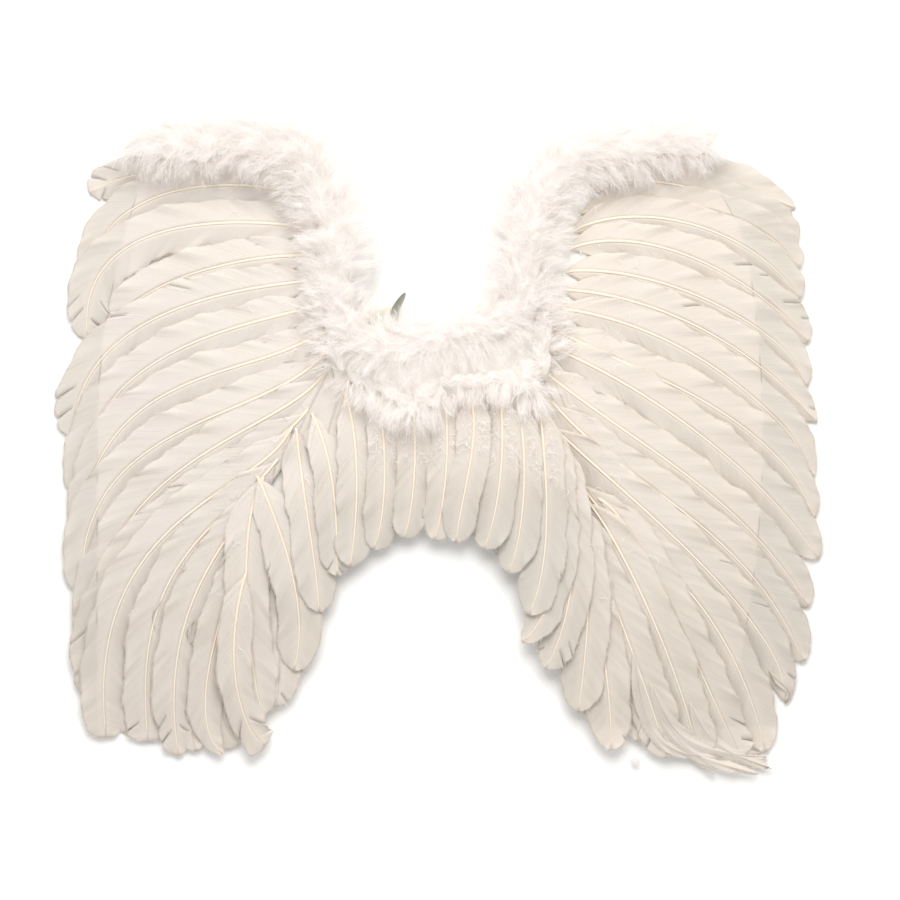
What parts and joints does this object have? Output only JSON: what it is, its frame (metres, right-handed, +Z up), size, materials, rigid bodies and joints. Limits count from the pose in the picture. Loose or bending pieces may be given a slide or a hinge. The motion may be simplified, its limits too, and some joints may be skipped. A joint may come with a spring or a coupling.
{
  "type": "costume angel wings",
  "caption": "Wide curved pair of costume angel wings: layered long feathers on a stiff card, a fluffy trim along the top edge and round the neck notch, and elastic shoulder loops behind.",
  "frame": {"origin": "bottom centre of the bounding box, on the floor under the wings as they lie on their back", "axes": "+X across the span to the right as the feather side is seen from above, +Y from the lower feather tips to the top edge, +Z up from the floor, out of the feather side"},
  "size_m": [0.65, 0.5554, 0.0522],
  "materials": {
    "card": "matt white card",
    "vane": "dyed white feather",
    "down": "white marabou down",
    "band": "woven elastic, off-white"
  },
  "bodies": {
    "root": {"backing_card": "card", "shoulder_strap_left": "band", "shoulder_strap_right": "band", "left_flight_01": "vane", "left_flight_02": "vane", "left_flight_03": "vane", "left_flight_04": "vane", "left_flight_05": "vane", "left_flight_06": "vane", "left_flight_07": "vane", "left_flight_08": "vane", "left_flight_09": "vane", "left_flight_10": "vane", "left_flight_11": "vane", "right_flight_01": "vane", "right_flight_02": "vane", "right_flight_03": "vane", "right_flight_04": "vane", "right_flight_05": "vane", "right_flight_06": "vane", "right_flight_07": "vane", "right_flight_08": "vane", "right_flight_09": "vane", "right_flight_10": "vane", "right_flight_11": "vane", "right_flight_12": "vane", "right_flight_13": "vane", "left_lower_01": "vane", "left_lower_02": "vane", "left_lower_03": "vane", "left_lower_04": "vane", "left_lower_05": "vane", "left_lower_06": "vane", "left_lower_07": "vane", "left_lower_08": "vane", "left_lower_09": "vane", "right_lower_01": "vane", "right_lower_02": "vane", "right_lower_03": "vane", "right_lower_04": "vane", "right_lower_05": "vane", "right_lower_06": "vane", "right_lower_07": "vane", "right_lower_08": "vane", "skirt_01": "vane", "skirt_02": "vane", "skirt_03": "vane", "skirt_04": "vane", "skirt_05": "vane", "skirt_06": "vane", "skirt_07": "vane", "marabou_left": "down", "marabou_right": "down"}
  },
  "joints": []
}
